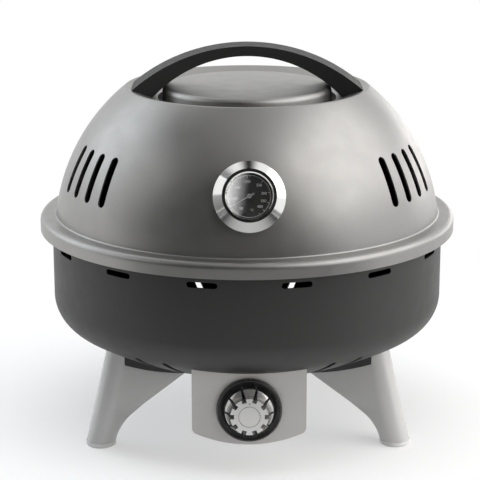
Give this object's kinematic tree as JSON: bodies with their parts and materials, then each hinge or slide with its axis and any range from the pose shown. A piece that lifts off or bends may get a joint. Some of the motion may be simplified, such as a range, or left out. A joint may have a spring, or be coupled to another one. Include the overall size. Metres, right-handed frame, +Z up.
{
  "type": "portable gas grill",
  "caption": "Round tabletop gas grill with a domed lift-off lid, lid thermometer, arched handle, vented bowl on splayed legs and a front tap knob.",
  "frame": {"origin": "on the table under the grill's axis, midway between the sides of the lid's rim", "axes": "+Z up, front with thermometer and knob towards -Y, +X to the right seen from the front"},
  "size_m": [0.4199, 0.42, 0.3917],
  "materials": {
    "lid_paint": "satin grey metallic paint",
    "handle_black": "fine satin",
    "chrome": "bright plate",
    "dial_black": "printed",
    "clear_glass": "clear",
    "needle_silver": "satin",
    "bowl_paint": "satin dark paint",
    "leg_silver": "silver paint, glossy",
    "saddle_dark": "matt",
    "pad_grey": "matt",
    "panel_grey": "satin grey paint",
    "bezel_black": "glossy",
    "knob_silver": "silver paint",
    "brass": "machined",
    "steel": "plain",
    "burner_cast": "as cast",
    "cast_iron": "matt enamel",
    "ceramic": "glazed",
    "lead_black": "matt",
    "gasket_black": "matt"
  },
  "bodies": {
    "base": {"bowl_shell": "bowl_paint", "leg_left": "leg_silver", "leg_right": "leg_silver", "leg_rear": "leg_silver", "leg_saddles": "saddle_dark", "foot_pads": "pad_grey", "leg_screws": "steel", "control_panel": "panel_grey", "panel_screws": "steel", "knob_bezel": "bezel_black", "tap_body": "brass", "tap_nut": "brass", "gas_inlet": "brass", "gas_jet": "brass", "mixing_tube": "steel", "burner_base": "burner_cast", "burner_cap": "burner_cast", "burner_screws": "steel", "heat_plate": "steel", "grate_supports": "steel", "igniter_insulator": "ceramic", "igniter_electrode": "steel", "igniter_lead": "lead_black"},
    "lid": {"lid_shell": "lid_paint", "carry_handle": "handle_black", "handle_screws": "steel", "thermometer_bezel": "chrome", "thermometer_case": "steel", "thermometer_dial": "dial_black", "thermometer_glass": "clear_glass", "thermometer_ring": "chrome", "thermometer_gasket": "gasket_black", "thermometer_probe": "steel", "thermometer_nut": "steel"},
    "needle": {"thermometer_needle": "needle_silver"},
    "grate": {"grill_grate": "cast_iron"},
    "plug": {"tap_plug": "brass"},
    "knob": {"knob": "knob_silver", "knob_cap": "knob_silver", "tap_spindle": "steel"}
  },
  "joints": [
    {"name": "lid_lift", "type": "slide", "parent": "base", "child": "lid", "axis": [0, 0, 1], "range_m": [0, 0.2]},
    {"name": "needle_turn", "type": "hinge", "parent": "lid", "child": "needle", "pos_m": [0, -0.17833, 0.27802], "axis": [0, 0.9114, -0.4115], "range_deg": [-20, 255], "stiffness_Nm_per_rad": 0.0005},
    {"name": "grate_lift", "type": "slide", "parent": "base", "child": "grate", "axis": [0, 0, 1], "range_m": [0, 0.025]},
    {"name": "knob_turn", "type": "hinge", "parent": "base", "child": "plug", "pos_m": [0, -0.172, 0.06889], "axis": [0, -1, 0], "range_deg": [0, 210]},
    {"name": "knob_press", "type": "slide", "parent": "plug", "child": "knob", "axis": [0, 1, 0], "range_m": [0, 0.003], "stiffness_N_per_m": 1500, "springref_m": -0.003}
  ]
}
